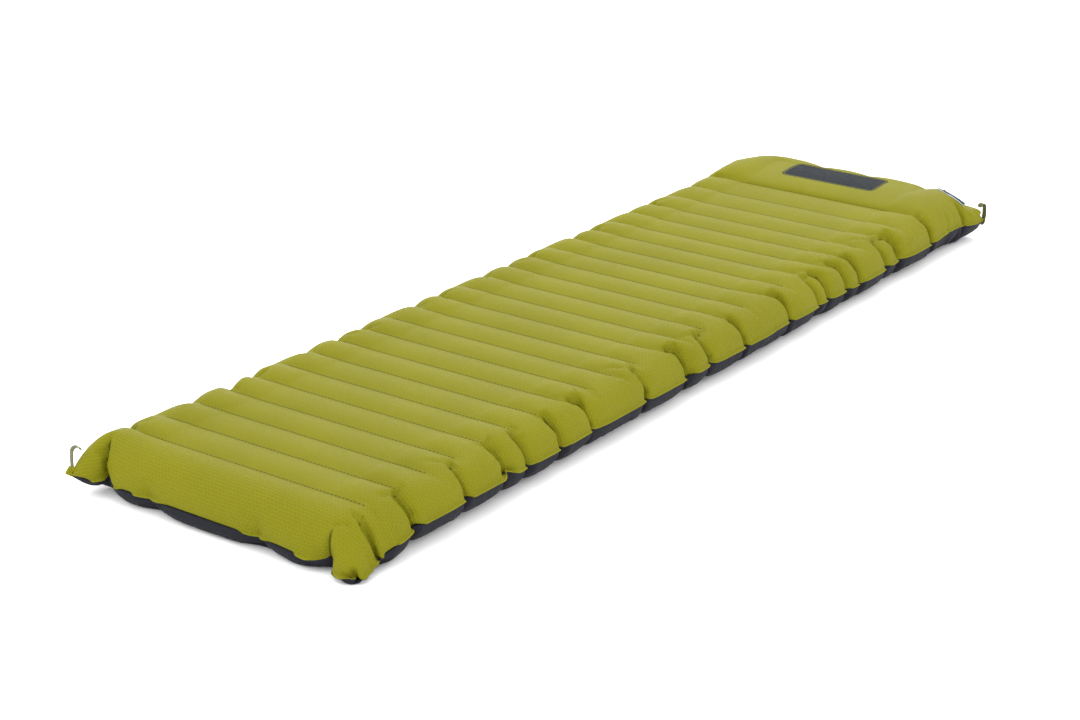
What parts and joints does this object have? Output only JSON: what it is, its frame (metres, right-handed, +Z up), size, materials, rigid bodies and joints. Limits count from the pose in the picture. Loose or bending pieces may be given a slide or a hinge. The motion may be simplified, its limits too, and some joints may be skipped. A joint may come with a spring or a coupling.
{
  "type": "inflatable sleeping pad",
  "caption": "Inflated camping sleeping pad with crosswise welded air cells, a wider pillow cell, a flat two-stage valve and corner webbing loops.",
  "frame": {"origin": "on the ground at mid length and mid width of the inflated pad", "axes": "+Y from the foot end to the pillow end, +X to the right seen from above with the pillow end away, +Z up"},
  "size_m": [0.5244, 1.8444, 0.098],
  "materials": {
    "top_fabric": "semi-matte coated fabric",
    "bottom_fabric": "matte coated fabric",
    "rib_fabric": "coated fabric",
    "valve_flange": "translucent soft plastic",
    "valve_cap": "satin",
    "valve_lid": "satin",
    "silicone": "matte",
    "webbing": "woven webbing"
  },
  "bodies": {
    "pad": {"top_sheet": "top_fabric", "bottom_sheet": "bottom_fabric", "rib_01": "rib_fabric", "rib_02": "rib_fabric", "rib_03": "rib_fabric", "rib_04": "rib_fabric", "rib_05": "rib_fabric", "rib_06": "rib_fabric", "rib_07": "rib_fabric", "rib_08": "rib_fabric", "rib_09": "rib_fabric", "rib_10": "rib_fabric", "rib_11": "rib_fabric", "rib_12": "rib_fabric", "rib_13": "rib_fabric", "rib_14": "rib_fabric", "rib_15": "rib_fabric", "rib_16": "rib_fabric", "rib_17": "rib_fabric", "rib_18": "rib_fabric", "rib_19": "rib_fabric", "rib_20": "rib_fabric", "rib_21": "rib_fabric", "rib_22": "rib_fabric", "rib_23": "rib_fabric", "rib_24": "rib_fabric", "rib_25": "rib_fabric", "valve_base": "valve_flange", "head_corner_loop": "webbing", "foot_corner_loop": "webbing"},
    "deflate_cap": {"deflate_cap": "valve_cap"},
    "inflate_cap": {"inflate_cap": "valve_lid"},
    "check_disc": {"check_disc": "silicone"}
  },
  "joints": [
    {"name": "deflate_cap_hinge", "type": "hinge", "parent": "pad", "child": "deflate_cap", "pos_m": [0.18107, 0.87491, 0.08986], "axis": [0, -0.8187, 0.5742], "range_deg": [0, 90]},
    {"name": "inflate_cap_hinge", "type": "hinge", "parent": "deflate_cap", "child": "inflate_cap", "pos_m": [0.19274, 0.87414, 0.08876], "axis": [0, -0.8187, 0.5742], "range_deg": [0, 85]},
    {"name": "check_disc_lift", "type": "slide", "parent": "deflate_cap", "child": "check_disc", "axis": [-0.3147, -0.545, -0.7771], "range_m": [0, 0.0015], "stiffness_N_per_m": 20}
  ]
}
